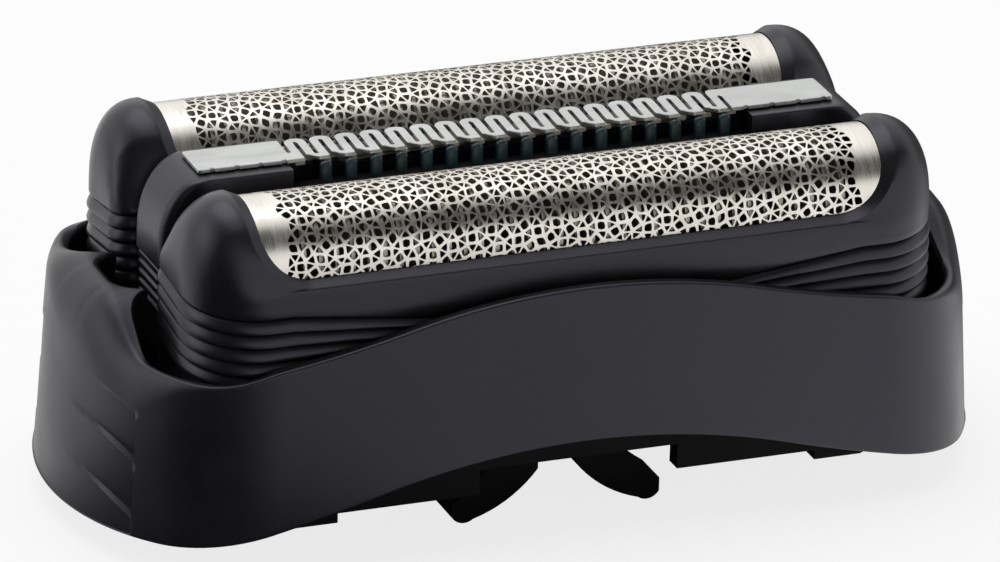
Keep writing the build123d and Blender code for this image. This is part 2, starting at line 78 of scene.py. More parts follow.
# a closed ring of points in rows, with a flat face over the first and the last row
def cappedPatch(points):
    rows, columns = points.shape[:2]
    index = np.arange(rows * columns).reshape(rows, columns)
    return points.reshape(-1, 3), [gridQuads(rows, columns, False, True), index[:1, ::-1], index[-1:]]


# patches side by side as one: the points in a row, the faces counted on
def joinPatches(patches):
    counts = np.cumsum([0] + [len(points) for points, faces in patches])
    faces = [group + start for (points, groups), start in zip(patches, counts) for group in groups]
    return np.concatenate([points for points, groups in patches]), faces


# points of an arc about a middle
def arcAt(x, y, radius, angle):
    return np.column_stack([x + radius * np.cos(angle), y + radius * np.sin(angle)])


# flat points lifted to one height
def atHeight(flat, z):
    return np.column_stack([flat, np.full(len(flat), z)])


# an object of the scene, at the origin
def addObject(name, data):
    made = bpy.data.objects.new(name, data)
    scene.collection.objects.link(made)
    return made


# each new piece with its slot, dressed when the finishes are made
pieces = []


# a patch as an object: doubles merged, faces turned outwards, edges sharp past an angle
def makePiece(name, patch, body, nodes, slot, sharp=34.0, weld=0.002):
    points, groups = patch
    mesh = bpy.data.meshes.new(name)
    mesh.vertices.add(len(points))
    mesh.vertices.foreach_set("co", (points * mm).astype(np.float32).ravel())
    corners = np.concatenate([group.ravel() for group in groups]).astype(np.int32)
    sizes = np.concatenate([np.full(len(group), group.shape[1]) for group in groups])
    mesh.loops.add(len(corners))
    mesh.loops.foreach_set("vertex_index", corners)
    mesh.polygons.add(len(sizes))
    mesh.polygons.foreach_set("loop_start", (np.cumsum(sizes) - sizes).astype(np.int32))
    mesh.update(calc_edges=True)
    mesh.validate()
    work = bmesh.new()
    work.from_mesh(mesh)
    bmesh.ops.remove_doubles(work, verts=work.verts, dist=weld * mm)
    bmesh.ops.dissolve_degenerate(work, edges=work.edges, dist=weld * mm)
    bmesh.ops.recalc_face_normals(work, faces=work.faces)
    work.to_mesh(mesh)
    work.free()
    mesh.shade_smooth()
    mesh.set_sharp_from_angle(angle=math.radians(sharp))
    piece = addObject(name, mesh)
    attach(piece, body)
    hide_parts(*nodes)
    pieces.append((piece, slot))
    print("piece", name, len(mesh.vertices), "points", len(mesh.polygons), "faces")


# height along x: an arc that falls from its crest to the join, then a parabola on to the end
def waveHeight(x, crest, join, end):
    x = np.abs(x)
    drop = crest - join[1]
    radius = (join[0] ** 2 + drop ** 2) / (2.0 * drop)
    slope = -join[0] / math.sqrt(radius ** 2 - join[0] ** 2)
    run = end[0] - join[0]
    bend = (end[1] - join[1] - slope * run) / run ** 2
    arc = crest - radius + np.sqrt(radius ** 2 - np.minimum(x, join[0]) ** 2)
    over = np.maximum(x - join[0], 0.0)
    return np.where(x < join[0], arc, join[1] + slope * over + bend * over ** 2)


# settings of the outer frame, in millimetres and degrees
outerFrame = {
    "halfLength": 29.0,
    "halfDepth": 13.9,
    "endRadius": 18.8,
    "cornerRadius": 7.5,
    "foot": 1.65,
    "endDraft": 4.2,
    "sideDraft": 1.5,
    "wall": 1.0,
    "rimAt": 14.0,
    "endFrom": (19.0, 24.0),
    "rimCrest": 16.25,
    "rimJoin": (11.0, 14.9),
    "troughAt": 21.5,
    "troughs": (13.0, 13.3),
    "archCrest": 6.5,
    "archJoin": (13.0, 4.7),
    "archEnd": (29.0, 1.65),
    "archPull": 0.9,
    "footEdge": 0.12,
    "crownTop": 15.05,
    "crownRadius": 40.0,
    "fall": (2.4, 7.9),
    "fallDepth": (2.7, 1.6),
    "deckUnder": 11.2,
    "slotX": 25.2,
    "slotY": (2.85, 12.8),
    "slotCorners": (6.3, 1.9),
    "trimSlot": (25.5, 2.9, 1.9),
    "slotBlend": 0.09,
    "rimEdge": 0.22,
    "slotEdge": (0.2, 0.4),
    "shoulder": 2.1,
    "shoulderFrom": 12.5,
    "shoulderHigh": (3.0, 1.3),
    "shoulderTurn": (-1.0, 6.0),
    "shoulderRise": 6.0,
    "endGrips": (9.2, 11.0),
    "wallShares": (0.2, 0.5, 0.8),
    "panelShare": 0.19,
    "panelTop": (10.9, 0.018),
    "gripUpper": (8.25, 0.0265),
    "gripLower": (4.95, 0.0285),
    "gripStep": 0.14,
    "gripDepth": 0.4,
    "gripFade": (1.5, 9.0),
    "gripCurve": 1.3,
    "rearGrip": 0.12,
    "panelDepth": 0.07,
    "sideColumns": 90,
    "cornerColumns": 40,
    "edgeColumns": 9,
    "endColumns": 130,
}


# columns of a quarter of the plan: which part each is on (side, corner, end) and how far along it
def planColumns(s):
    side = np.linspace(0.0, 1.0, s["sideColumns"], endpoint=False)
    corner = np.linspace(0.0, 1.0, s["cornerColumns"], endpoint=False)
    edge = np.linspace(0.0, s["panelShare"], s["edgeColumns"])
    end = np.linspace(s["panelShare"] + 0.012, 1.0, s["endColumns"])
    share = np.concatenate([side, corner, edge, end])
    part = np.repeat([0, 1, 2, 3], [len(side), len(corner), len(edge), len(end)])
    order = np.arange(len(share))
    loop = np.concatenate([order, order[-2::-1], order[1:], order[-2:0:-1]])
    turns = [len(order), len(order) - 1, len(order) - 1, len(order) - 2]
    signX = np.repeat([1.0, 1.0, -1.0, -1.0], turns)
    signY = np.repeat([1.0, -1.0, -1.0, 1.0], turns)
    return part[loop], share[loop], signX, signY


# outer plan at height z: straight side, corner arc, end arc, all drawn in by the draft of the wall
def framePlan(s, columns, z):
    part, share, signX, signY = columns
    length = s["halfLength"] - (z - s["foot"]) * math.tan(math.radians(s["endDraft"]))
    depth = s["halfDepth"] - (z - s["foot"]) * math.tan(math.radians(s["sideDraft"]))
    arcMid = length - s["endRadius"]
    lean = depth - s["cornerRadius"]
    cornerX = arcMid + np.sqrt((s["endRadius"] - s["cornerRadius"]) ** 2 - lean ** 2)
    turn = -np.arctan2(lean, cornerX - arcMid)
    angle = np.where(part == 1, mixed(-math.pi / 2, turn, share), turn * (1.0 - share))
    angle = np.where(part == 0, -math.pi / 2, angle)
    radius = np.where(part < 2, s["cornerRadius"], s["endRadius"])
    x = np.where(part < 2, cornerX, arcMid) + radius * np.cos(angle)
    x = np.where(part == 0, cornerX * share, x)
    y = np.where(part < 2, -lean, 0.0) + radius * np.sin(angle)
    normal = np.stack([np.cos(angle) * signX, np.sin(angle) * signY], -1)
    return np.stack([x * signX, y * signY], -1), normal


# distance to a rounded rectangle, positive outside
def roundedBox(x, y, halfX, halfY, radius):
    dx = np.abs(x) - halfX + radius
    dy = np.abs(y) - halfY + radius
    outside = np.hypot(np.maximum(dx, 0.0), np.maximum(dy, 0.0))
    return outside + np.minimum(np.maximum(dx, dy), 0.0) - radius


# distance to the three slots together, blended softly where they meet
def slotField(s, x, y):
    middle = (s["slotY"][0] + s["slotY"][1]) / 2
    half = (s["slotY"][1] - s["slotY"][0]) / 2
    away = np.abs(y) - middle
    along = np.abs(x) - s["slotX"]
    outer, inner = s["slotCorners"]
    foil = np.maximum(along, np.abs(away) - half)
    for radius, over in ((outer, away - half), (inner, -away - half)):
        turned = (along + radius > 0) & (over + radius > 0)
        foil = np.where(turned, np.hypot(along + radius, over + radius) - radius, foil)
    trim = roundedBox(x, y, *s["trimSlot"])
    mix = np.clip(0.5 + 0.5 * (trim - foil) / s["slotBlend"], 0.0, 1.0)
    return mixed(trim, foil, mix) - s["slotBlend"] * mix * (1.0 - mix)


# the deck's reach inwards from the outline: halve the span along each normal until the slot's edge is found
def deckReach(s, start, normal):
    near = np.zeros(len(start))
    far = np.full(len(start), 9.0)
    for step in range(40):
        middle = (near + far) / 2
        at = start - normal * middle[:, None]
        out = slotField(s, at[:, 0], at[:, 1]) > 0
        near = np.where(out, middle, near)
        far = np.where(out, far, middle)
    return near


# height of a slot's edge across an end: level in the middle, then a soft fall towards each corner
def edgeCrown(s, y):
    depth = np.where(y < 0, s["fallDepth"][0], s["fallDepth"][1])
    return s["crownTop"] - depth * easeStep(np.abs(y), *s["fall"])


# height of the outline across an end: the same fall at the front, a shallow arc at the rear
def endCrown(s, y):
    arc = s["crownTop"] - s["crownRadius"] + np.sqrt(s["crownRadius"] ** 2 - y ** 2)
    return np.where(y < 0, edgeCrown(s, y), arc)


# a closed profile carried round the plan: foot, drafted wall with its grips, shoulder, deck, slot, inside
def frameSurface(s):
    columns = planColumns(s)
    part = columns[0]
    rim, normal = framePlan(s, columns, np.full(len(part), s["rimAt"]))
    x, y = rim.T
    across = np.abs(y)
    trough = np.where(y < 0, *s["troughs"])
    wave = waveHeight(x, s["rimCrest"], s["rimJoin"], (s["troughAt"], trough))
    outEnd = easeStep(np.abs(x), *s["endFrom"])
    top = mixed(wave, endCrown(s, y), outEnd)
    reach = deckReach(s, rim, normal)
    edge = rim - normal * reach[:, None]
    edgeTop = mixed(top, edgeCrown(s, edge[:, 1]), outEnd)
    stretch = s["halfLength"] / (s["halfLength"] - s["archPull"])
    foot = waveHeight(x * stretch, s["archCrest"], s["archJoin"], s["archEnd"])
    slotEdge = mixed(*s["slotEdge"], outEnd)
    within = s["shoulderFrom"] - across
    wide = easeStep(within, 0.0, s["shoulderFrom"])
    shoulder = np.minimum(s["rimEdge"] + s["shoulder"] * wide, reach - slotEdge - 0.05)
    high = mixed(*s["shoulderHigh"], easeStep(y, *s["shoulderTurn"]))
    high = s["rimEdge"] + high * easeStep(within, 0.0, s["shoulderRise"])
    rows = []

    # the shoulder's lean at height z: a quarter of an ellipse from the wall to the deck
    def leanAt(z):
        share = np.clip((z - top + high) / high, 0.0, 1.0)
        return shoulder * (1.0 - np.sqrt(1.0 - share ** 2))

    # a row at height z, moved in from the drafted wall
    def addRow(z, inset):
        plan, out = framePlan(s, columns, z)
        rows.append(np.column_stack([plan - out * np.broadcast_to(inset, z.shape)[:, None], z]))

    footEdge = s["footEdge"]
    for angle in np.radians([90, 65, 40, 20]):
        addRow(foot + footEdge * (1 - math.sin(angle)), footEdge * (1 - math.cos(angle)))
    onEnd = np.where(part == 0, 0.0, 1.0 - easeStep(across, *s["endGrips"]))
    lines = []
    for share, (middle, bow) in zip(s["wallShares"], (s["gripLower"], s["gripUpper"], s["panelTop"])):
        level = mixed(foot, top - shoulder, share)
        lines.append(mixed(level, middle - bow * across ** 2, onEnd))
    lower, upper, panel = lines
    onPanel = (part == 3).astype(float)
    base = s["panelDepth"] * onPanel
    deep = s["gripDepth"] * onPanel * easeStep(across, *s["gripFade"])
    deep = deep * np.where(y < 0, 1.0, s["rearGrip"])
    for t in np.linspace(0.0, 1.0, 9):
        height = mixed(foot + footEdge, lower, t)
        addRow(height, base + leanAt(height))
    for under, over in ((lower, upper), (upper, panel)):
        for t in np.linspace(0.0, 1.0, 13):
            height = mixed(under + s["gripStep"], over, t)
            addRow(height, base + deep * (1.0 - t) ** s["gripCurve"] + leanAt(height))
    for angle in np.radians(np.linspace(0, 90, 22)):
        height = mixed(panel + 0.1, top, math.sin(angle))
        inset = leanAt(height)
        addRow(height + (edgeTop - top) * inset / reach, inset)
    for t in np.linspace(0.15, 1.0, 6):
        inset = mixed(shoulder, reach - slotEdge, t)
        addRow(mixed(top, edgeTop, inset / reach), inset)
    for angle in np.radians([25, 50, 75, 90]):
        addRow(edgeTop - slotEdge * (1 - math.cos(angle)), reach - slotEdge * (1 - math.sin(angle)))
    for t in (0.35, 0.7, 1.0):
        addRow(mixed(edgeTop - slotEdge, s["deckUnder"], t), reach)
    inside = np.minimum(s["wall"], reach - 0.02)
    addRow(np.full(len(part), s["deckUnder"]), (reach + inside) / 2)
    for t in np.linspace(0.0, 1.0, 7):
        addRow(mixed(s["deckUnder"], foot + 0.15, t), inside)
    addRow(foot, inside - footEdge)
    return gridPatch(np.array(rows), True, True)


makePiece("outer_shell", frameSurface(outerFrame), "frame", ["outer_frame"], "frame_plastic")


# settings of a foil unit, in millimetres, round the middle of the unit
foilUnit = {
    "offset": 7.7,
    "halfLength": 23.7,
    "halfWidth": 4.5,
    "outerCorner": 4.4,
    "innerCorner": 1.6,
    "bottom": 10.5,
    "hollow": (0.65, 16.7),
    "domeFoot": 17.1,
    "axis": 18.3,
    "lipRadius": 3.76,
    "windowHalf": 19.4,
    "endLean": 0.35,
    "barDrop": 0.25,
    "windowCorner": 2.7,
    "barLip": (0.6, 0.33),
    "archLip": (0.34, 0.75),
    "domePower": 0.82,
    "ribTop": 16.5,
    "ribTilt": 0.11,
    "ribPitch": 0.88,
    "ribCount": 6,
    "ribDepth": 0.42,
    "ribSet": -0.12,
    "ribAt": (0.0, 0.07, 0.14, 0.26, 0.45, 0.65, 0.85, 0.95),
    "ribIn": (1.0, 0.4, 0.05, 0.0, 0.12, 0.3, 0.52, 0.75),
    "crestRows": ((0.06, 0.2), (0.1, 0.05), (0.2, 0.0)),
    "lipShares": (0.12, 0.3, 0.6, 0.9, 1.0),
    "foilSeat": (0.8, 0.3),
    "innerSpread": 1.6,
    "fanHeight": 13.4,
    "fanFall": 0.045,
    "fanFrom": 18.0,
    "sideColumns": 110,
    "cornerColumns": 44,
    "endColumns": 20,
}


# half of the unit's plan, from the middle of the outer side round the right end to the inner side,
# with the share of the way up the window's edge that each column meets
def unitColumns(s):
    outer = s["outerCorner"]
    inner = s["innerCorner"]
    length = s["halfLength"]
    width = s["halfWidth"]
    t = np.linspace(0.0, 1.0, s["sideColumns"], endpoint=False)
    side = np.column_stack([t * (length - outer), np.full(len(t), -width), t * 0, t * 0 - 1.0])
    sideUp = -(1.0 - t)
    a = np.radians(np.linspace(-90, 0, s["cornerColumns"], endpoint=False))
    corner = np.column_stack([arcAt(length - outer, outer - width, outer, a), np.cos(a), np.sin(a)])
    cornerUp = np.linspace(0.0, 1.0, len(a), endpoint=False)
    t = np.linspace(0.0, 1.0, s["endColumns"], endpoint=False)
    endLength = 2 * width - outer - inner
    end = np.column_stack([np.full(len(t), length), outer - width + t * endLength, t * 0 + 1.0, t * 0])
    a = np.radians(np.linspace(0, 90, s["cornerColumns"] // 2, endpoint=False))
    turn = np.column_stack([arcAt(length - inner, width - inner, inner, a), np.cos(a), np.sin(a)])
    turnLength = inner * math.pi / 2
    whole = endLength + turnLength
    endUp = 1.0 - t * endLength / whole
    turnUp = 1.0 - (endLength + np.linspace(0, turnLength, len(a), endpoint=False)) / whole
    t = np.linspace(0.0, 1.0, s["sideColumns"] + 1)
    back = np.column_stack([(1 - t) * (length - inner), np.full(len(t), width), t * 0, t * 0 + 1.0])
    half = np.concatenate([side, corner, end, turn, back])
    up = np.concatenate([sideUp, cornerUp, endUp, turnUp, -t])
    outerSide = np.where(np.arange(len(half)) < len(side) + len(corner), 1.0, -1.0)
    mirror = half[-2:0:-1] * np.array([-1.0, 1.0, -1.0, 1.0])
    signX = np.concatenate([np.ones(len(half)), -np.ones(len(mirror))])
    up = np.concatenate([up, up[-2:0:-1]])
    outerSide = np.concatenate([outerSide, outerSide[-2:0:-1]])
    return np.concatenate([half, mirror]), up, outerSide, signX


# edge of the window on the arch: straight along the bar, a rounded corner, then up over the end;
# spread moves it out by the lip, square to the edge and away from the arch
def windowEdge(s, up, sideSign, signX, spread):
    corner = s["windowCorner"]
    radius = s["lipRadius"]
    cornerLength = corner * math.pi / 2
    archStart = math.asin(corner / radius)
    archLength = radius * (math.pi / 2 - archStart)
    run = np.clip(up, 0.0, 1.0) * (cornerLength + archLength)
    turn = np.clip(run / cornerLength, 0.0, 1.0) * math.pi / 2
    flat = s["windowHalf"] - corner
    x = flat + corner * np.sin(turn)
    x = np.where(up < 0, flat * (1.0 + np.minimum(up, 0.0)), x)
    low = corner * (1.0 - np.cos(turn))
    onArch = archStart + np.maximum(run - cornerLength, 0.0) / radius
    rise = np.where(run > cornerLength, onArch, np.arcsin(np.clip(low / radius, -1, 1)))
    lift = easeStep(turn, 0.0, math.pi / 2)
    wide = radius + spread * mixed(s["barLip"][0], s["archLip"][0], lift)
    y = -wide * np.cos(rise) * sideSign
    z = s["axis"] + wide * np.sin(rise) - (s["barDrop"] + spread * s["barLip"][1]) * np.cos(turn)
    x = x + spread * s["archLip"][1] * np.sin(turn) + s["endLean"] * np.sin(rise) * np.sin(turn)
    return np.column_stack([x * signX, y, z])


# a closed profile carried round the unit: ribbed wall that fans towards the ends, cap, dome, lip and inside
def unitSurface(s):
    plan, up, sideSign, signX = unitColumns(s)
    outerLip = windowEdge(s, up, sideSign, signX, 1.0)
    innerLip = windowEdge(s, up, sideSign, signX, 0.0)
    fan = 1.0 - s["fanFall"] * np.maximum(s["fanFrom"] - np.abs(plan[:, 0]), 0.0)
    rows = []

    # a row at height z, moved in from the plan
    def addRow(z, inset):
        rows.append(np.column_stack([plan[:, :2] - plan[:, 2:] * inset, z]))

    # a rib's height: tilted across the unit, drawn together away from the ends
    def fanned(height):
        return mixed(s["fanHeight"], height + s["ribTilt"] * plan[:, 1], fan)

    count = len(plan)
    addRow(np.full(count, s["bottom"]), s["ribSet"])
    for rib in range(s["ribCount"]):
        for share, inset in zip(s["ribAt"], s["ribIn"]):
            height = s["ribTop"] - s["ribPitch"] * (s["ribCount"] - 1 - rib - share)
            if height > s["ribTop"] + 0.001:
                continue
            addRow(fanned(height), s["ribSet"] + s["ribDepth"] * inset)
    crest = fanned(s["ribTop"])
    for rise, inset in s["crestRows"]:
        addRow(crest + rise, inset)
    addRow(mixed(crest, s["domeFoot"], 0.5), 0.0)
    for angle in np.radians(np.linspace(0, 90, 19)):
        inward = 1 - max(math.cos(angle), 0.0) ** s["domePower"]
        flat = mixed(plan[:, :2], outerLip[:, :2], inward)
        rise = mixed(s["domeFoot"], outerLip[:, 2], math.sin(angle) ** s["domePower"])
        rows.append(np.column_stack([flat, rise]))
    for t in s["lipShares"]:
        rows.append(mixed(outerLip, innerLip, t))
    lifted = easeStep(up, 0.0, 0.4)
    held = innerLip.copy()
    held[:, 0] += s["foilSeat"][0] * lifted * signX
    held[:, 2] -= s["foilSeat"][1] * (1 - lifted)
    rows.append(held)
    inner = held.copy()
    inner[:, 1] = np.clip(inner[:, 1] * s["innerSpread"], -s["lipRadius"], s["lipRadius"])
    wall, ceiling = s["hollow"]
    inner[:, 2] = ceiling
    rows.append(inner)
    addRow(np.full(count, ceiling), wall)
    addRow(np.full(count, s["bottom"]), wall)
    return gridPatch(np.array(rows), True, True)


# the same patch moved to its unit, mirrored front to back for the rear one
def placeUnit(patch, offset, mirror):
    points, faces = patch
    moved = points * np.array([1.0, -1.0 if mirror else 1.0, 1.0])
    moved[:, 1] += offset if mirror else -offset
    return moved, faces


unitPatch = unitSurface(foilUnit)
sides = (("front", False), ("rear", True))
for name, mirror in sides:
    placed = placeUnit(unitPatch, foilUnit["offset"], mirror)
    makePiece(name + "_unit_shell", placed, name + "_foil_unit", [name + "_foil_frame"], "unit_plastic")


# settings of a foil, in millimetres
foilSheet = {
    "radius": 3.7,
    "halfLength": 19.7,
    "meshHalf": 18.4,
    "meshOver": 0.8,
    "meshAngle": 98.0,
    "skirt": 3.2,
    "thick": 0.07,
    "pitch": 0.67,
    "turn": 17.0,
    "jitter": 0.13,
    "bar": 0.042,
    "holeLimit": 0.24,
    "cornerShare": 0.86,
    "merge": 1.18,
    "seed": 11,
}


# ring of faces between each polygon and its hole: the hole's sides stand in by half a bar, its corners
# a bit more
def pierced(s, sites, polygons, midOf, baseHole):
    count, sides = polygons.shape
    corner = sites[polygons]
    after = np.roll(corner, -1, 1)
    centre = corner.mean(1)[:, None]
    middle = (corner + after) / 2
    along = (after - corner) / np.linalg.norm(after - corner, axis=2)[:, :, None]
    inward = np.stack([-along[:, :, 1], along[:, :, 0]], -1)
    depth = np.maximum(((centre - middle) * inward).sum(2), 1e-6)
    share = np.clip(np.minimum(1.0 - s["bar"] / depth, s["holeLimit"] / depth), 0.1, 1.0)
    holeSide = centre + (middle - centre) * share[:, :, None]
    cornerShare = np.minimum(share, np.roll(share, 1, 1)) * s["cornerShare"]
    holeCorner = centre + (corner - centre) * cornerShare[:, :, None]
    number = baseHole + 2 * np.arange(count * sides).reshape(count, sides)
    points = np.stack([holeCorner, holeSide], 2).reshape(-1, 2)
    one = np.stack([polygons, midOf, number + 1, number], -1)
    two = np.stack([midOf, np.roll(polygons, -1, 1), np.roll(number, -1, 1), number + 1], -1)
    return points, np.concatenate([one.reshape(-1, 4), two.reshape(-1, 4)])


# triangles over the sites, all turned the same way
def triangles(sites):
    made = delaunay_2d_cdt([Vector(p) for p in sites.tolist()], [], [], 0, 1e-7)
    sites = np.array([p[:] for p in made[0]])
    tris = np.array(made[2])
    one = sites[tris[:, 1]] - sites[tris[:, 0]]
    two = sites[tris[:, 2]] - sites[tris[:, 0]]
    turn = one[:, 0] * two[:, 1] - one[:, 1] * two[:, 0]
    return sites, np.where(turn[:, None] > 0, tris, tris[:, ::-1])


# a flat sheet: sites of squares and triangles with sides of one pitch, turned and jittered; two triangles
# that share a square's diagonal merge to one quad; each polygon of the pierced field gets a hole, the rest
# stays plain
def cellSheet(s):
    rng = np.random.default_rng(s["seed"])
    arch = math.radians(s["meshAngle"]) * s["radius"]
    field = np.array([s["meshHalf"], arch + s["meshOver"]])
    half = np.array([s["halfLength"], arch + s["skirt"]])
    cell = s["pitch"] * (math.sqrt(6) + math.sqrt(2)) / 2
    reach = int(math.ceil(np.hypot(*half) / cell)) + 1
    u, v = np.meshgrid(np.arange(-reach, reach + 1), np.arange(-reach, reach + 1))
    square = np.array([(-0.183, 0.317), (-0.317, -0.183), (0.183, -0.317), (0.317, 0.183)])
    grid = (np.stack([u, v], -1).reshape(-1, 1, 2) + square).reshape(-1, 2) * cell
    c = math.cos(math.radians(s["turn"]))
    w = math.sin(math.radians(s["turn"]))
    sites = grid @ np.array([[c, w], [-w, c]])
    sites = sites + rng.uniform(-1, 1, sites.shape) * s["jitter"] * s["pitch"]
    sites = sites[(np.abs(sites) < half + s["pitch"]).all(1)]
    sites, tris = triangles(sites)
    out = np.abs(sites) > half - 0.2
    edge = out.any(1)
    sites = np.where(out, np.sign(sites) * half, sites)
    tris = tris[~edge[tris].all(1)]
    pierce = (np.abs(sites) < field).all(1)[tris].all(1)
    ends = np.sort(np.stack([tris, np.roll(tris, -1, 1)], -1), -1).reshape(-1, 2)
    edges, edgeOf = np.unique(ends, axis=0, return_inverse=True)
    edgeOf = edgeOf.reshape(-1, 3)
    length = np.linalg.norm(sites[edges[:, 0]] - sites[edges[:, 1]], axis=1)
    shared = np.bincount(edgeOf[pierce].ravel(), minlength=len(edges)) == 2
    weight = np.where(shared & (length > s["merge"] * s["pitch"]), length, -1.0)
    side = weight[edgeOf].argmax(1)
    best = edgeOf[np.arange(len(tris)), side]
    wanted = np.bincount(best[pierce], minlength=len(edges))
    joined = pierce & (wanted[best] == 2) & (weight[best] > 0)
    order = np.argsort(np.where(joined, best, len(edges)), kind="stable")[: joined.sum()]
    first = order[0::2]
    second = order[1::2]
    k = side[first]
    tip = tris[second, (side[second] + 2) % 3]
    quads = np.column_stack([tris[first, k], tip, tris[first, (k + 1) % 3], tris[first, (k + 2) % 3]])
    threes = tris[pierce & ~joined]
    plain = tris[~pierce]
    baseMid = len(sites)
    key = edges[:, 0] * len(sites) + edges[:, 1]

    def midsOf(polygons):
        pair = np.sort(np.stack([polygons, np.roll(polygons, -1, 1)], -1), -1)
        return baseMid + np.searchsorted(key, pair[..., 0] * len(sites) + pair[..., 1])

    baseHole = baseMid + len(edges)
    threeHoles, threeFaces = pierced(s, sites, threes, midsOf(threes), baseHole)
    fourHoles, fourFaces = pierced(s, sites, quads, midsOf(quads), baseHole + len(threeHoles))
    points = np.concatenate([sites, sites[edges].mean(1), threeHoles, fourHoles])
    plainMid = midsOf(plain)
    corners = np.stack([plain, plainMid, np.roll(plainMid, 1, 1)], -1).reshape(-1, 3)
    faces = [np.concatenate([threeFaces, fourFaces]), np.concatenate([corners, plainMid])]
    used = np.unique(np.concatenate([group.ravel() for group in faces]))
    renumber = np.zeros(len(points), int)
    renumber[used] = np.arange(len(used))
    return points[used], [renumber[group] for group in faces]


# a flat point (along, around) carried onto the arch at some depth below it, and on down the skirts
def ontoArch(s, flat, axis, depth):
    limit = math.radians(s["meshAngle"]) * s["radius"]
    bend = np.clip(flat[:, 1], -limit, limit) / s["radius"]
    over = flat[:, 1] - np.clip(flat[:, 1], -limit, limit)
    y = (s["radius"] - depth) * np.sin(bend)
    z = axis + (s["radius"] - depth) * np.cos(bend) - np.abs(over)
    return np.column_stack([flat[:, 0], y, z])


# the sheet bent over the arch as a closed solid: outer faces, the same turned over inside, a rim on each
# free edge
def foilSurface(s, axis):
    flat, faces = cellSheet(s)
    count = len(flat)
    starts = np.concatenate([group.ravel() for group in faces])
    ends = np.concatenate([np.roll(group, -1, 1).ravel() for group in faces])
    free = ~np.isin(starts * count + ends, ends * count + starts)
    starts = starts[free]
    ends = ends[free]
    rim = np.column_stack([ends, starts, starts + count, ends + count])
    points = np.concatenate([ontoArch(s, flat, axis, 0.0), ontoArch(s, flat, axis, s["thick"])])
    return points, faces + [group[:, ::-1] + count for group in faces] + [rim]


foilPatch = foilSurface(foilSheet, foilUnit["axis"])
for name, mirror in sides:
    placed = placeUnit(foilPatch, foilUnit["offset"], mirror)
    nodes = [name + "_foil"]
    makePiece(name + "_foil_mesh", placed, name + "_foil_unit", nodes, "foil_steel", 50.0, 0.0005)


# settings of the trimmer body, in millimetres
trimmerBody = {
    "halfLength": 22.9,
    "halfWidth": 2.5,
    "corner": 0.7,
    "bottom": 10.5,
    "rampFoot": 17.0,
    "rampRun": 2.6,
    "rampRise": 4.2,
    "edge": 0.14,
    "lipTop": 20.0,
    "blockStart": 14.65,
    "channel": (16.25, 1.4),
    "channelCorner": 0.5,
    "hollow": (0.6, 16.7),
    "archRise": 4.8,
    "archRun": (4.0, 10.0),
    "ribTop": 15.6,
    "ribPitch": 0.62,
    "ribCount": 5,
    "ribDepth": 0.2,
    "ribSet": 0.08,
    "ribAt": (0.0, 0.1, 0.25, 0.5, 0.75, 0.9),
    "ribIn": (1.0, 0.55, 0.12, 0.0, 0.12, 0.55),
    "ribCap": 0.1,
}


# half width at height z: straight, then rounded in at the top edge
def bodyWidth(s, z):
    over = np.clip(z - (s["rampFoot"] + s["rampRise"] - s["edge"]), 0.0, s["edge"])
    return s["halfWidth"] - s["edge"] + np.sqrt(s["edge"] ** 2 - over ** 2)


# half length at height z: straight, then a quarter ellipse over the end ramp
def bodyLength(s, z):
    over = np.clip((z - s["rampFoot"]) / s["rampRise"], 0.0, 1.0)
    return s["halfLength"] - s["rampRun"] * (1.0 - np.sqrt(1.0 - over ** 2))


# rounded rectangle as a loop: four corner arcs with straight runs between, counter-clockwise
def roundedLoop(halfX, halfY, radius, perCorner=10, perRun=14):
    a = np.radians(np.linspace(0, 90, perCorner))
    parts = []
    for k, (sx, sy) in enumerate([(1, -1), (1, 1), (-1, 1), (-1, -1)]):
        angle = a + math.radians(-90 + 90 * k)
        parts.append(arcAt(sx * (halfX - radius), sy * (halfY - radius), radius, angle))
    runs = []
    t = np.linspace(0, 1, perRun)[1:-1, None]
    for k in range(4):
        runs.append(parts[k])
        runs.append(mixed(parts[k][-1], parts[(k + 1) % 4][0], t))
    return np.concatenate(runs)


